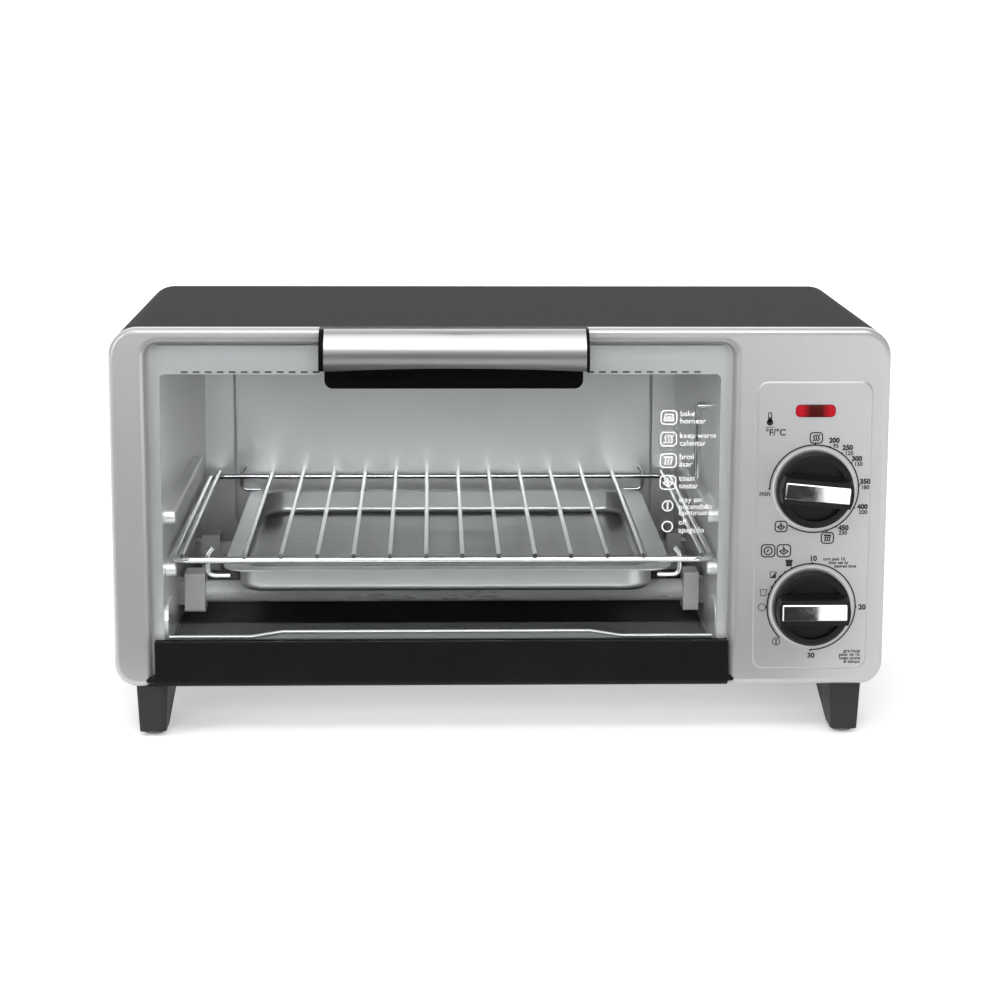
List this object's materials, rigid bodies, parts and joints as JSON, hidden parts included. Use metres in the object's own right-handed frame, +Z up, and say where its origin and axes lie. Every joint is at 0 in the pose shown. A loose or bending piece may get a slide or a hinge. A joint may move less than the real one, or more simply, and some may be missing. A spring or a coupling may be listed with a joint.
{
  "type": "toaster oven",
  "caption": "Countertop toaster oven with a drop-down glass door, wire rack, bake pan, crumb tray, quartz heating tubes and rotary temperature and timer knobs.",
  "frame": {"origin": "centre of the bounding box at the underside of the feet, with the door closed", "axes": "+X to the right as seen by someone facing the door, +Y from the door to the rear, +Z up"},
  "size_m": [0.367, 0.2572, 0.1994],
  "materials": {
    "silver_paint": "satin silver paint on pressed steel",
    "black_case_paint": "satin black paint on folded steel",
    "bare_steel": "plain galvanised sheet",
    "cavity_sheet": "dull reflective aluminised sheet",
    "quartz_tube": "frosted quartz",
    "ceramic": "matt fired ceramic",
    "bright_wire": "bright chrome plate",
    "foot_plastic": "fine moulded grain",
    "pad_rubber": "matt",
    "control_body": "moulded phenolic",
    "control_metal": "plain plated steel",
    "bell_brass": "plated steel bell",
    "red_lens": "clear red moulding",
    "lamp_glass": "small neon lamp",
    "wire_sleeve": "braided heat-proof sleeve",
    "black_plastic": "fine moulded grain",
    "screw_steel": "zinc plate",
    "door_glass": "clear tempered glass with white print",
    "black_rail": "semi-gloss black",
    "brushed_fascia": "horizontally brushed stainless steel",
    "pan_coating": "dull pressed sheet",
    "tray_coating": "dark baked coating",
    "knob_plastic": "semi-gloss black",
    "chrome_insert": "bright plated bar"
  },
  "bodies": {
    "casing": {"front_bezel": "silver_paint", "outer_wrap": "black_case_paint", "bottom_plate": "bare_steel", "rear_panel": "bare_steel", "rear_cover": "bare_steel", "front_sill": "bare_steel", "cavity_left_wall": "cavity_sheet", "cavity_right_wall": "cavity_sheet", "cavity_ceiling": "cavity_sheet", "cavity_back": "cavity_sheet", "lower_front_element": "quartz_tube", "lower_rear_element": "quartz_tube", "upper_front_element": "quartz_tube", "upper_rear_element": "quartz_tube", "element_blocks": "ceramic", "element_tabs": "bare_steel", "sensor_rod": "bright_wire", "foot_front_left": "foot_plastic", "foot_front_right": "foot_plastic", "foot_rear_left": "foot_plastic", "foot_rear_right": "foot_plastic", "foot_pads": "pad_rubber", "heat_shield": "bare_steel", "thermostat_body": "control_body", "timer_body": "control_metal", "timer_bell": "bell_brass", "indicator_lens": "red_lens", "indicator_lamp": "lamp_glass", "wiring": "wire_sleeve", "cord_bushing": "black_plastic", "rear_screws": "screw_steel"},
    "door": {"door_glass": "door_glass", "door_bottom_rail": "black_rail", "hinge_pins": "black_rail", "door_handle": "black_plastic", "handle_fascia": "brushed_fascia", "handle_screws": "screw_steel"},
    "rack": {"wire_rack": "bright_wire"},
    "pan": {"bake_pan": "pan_coating"},
    "tray": {"crumb_tray": "tray_coating"},
    "temperature_control": {"temperature_knob": "knob_plastic", "temperature_knob_insert": "chrome_insert", "temperature_shaft": "screw_steel"},
    "timer_control": {"timer_knob": "knob_plastic", "timer_knob_insert": "chrome_insert", "timer_shaft": "screw_steel"}
  },
  "joints": [
    {"name": "door_hinge", "type": "hinge", "parent": "casing", "child": "door", "pos_m": [-0.0293, -0.1042, 0.0288], "axis": [1, 0, 0], "range_deg": [0, 90], "stiffness_Nm_per_rad": 0.12, "springref_deg": -20.05},
    {"name": "rack_slide", "type": "slide", "parent": "casing", "child": "rack", "axis": [0, -1, 0], "range_m": [0, 0.063]},
    {"name": "pan_slide", "type": "slide", "parent": "rack", "child": "pan", "axis": [0, -1, 0], "range_m": [0, 0.0158]},
    {"name": "crumb_tray_slide", "type": "slide", "parent": "casing", "child": "tray", "axis": [0, -1, 0], "range_m": [0, 0.019]},
    {"name": "temperature_knob_turn", "type": "hinge", "parent": "casing", "child": "temperature_control", "pos_m": [0.1482, -0.112, 0.1217], "axis": [0, 1, 0], "range_deg": [0, 305]},
    {"name": "timer_knob_turn", "type": "hinge", "parent": "casing", "child": "timer_control", "pos_m": [0.1482, -0.112, 0.0643], "axis": [0, 1, 0], "range_deg": [-42, 270]}
  ],
  "couplings": [
    {"joint": "rack_slide", "follows": "door_hinge", "m_per_rad": 0.04},
    {"joint": "pan_slide", "follows": "door_hinge", "m_per_rad": 0.01},
    {"joint": "crumb_tray_slide", "follows": "door_hinge", "m_per_rad": 0.012}
  ]
}
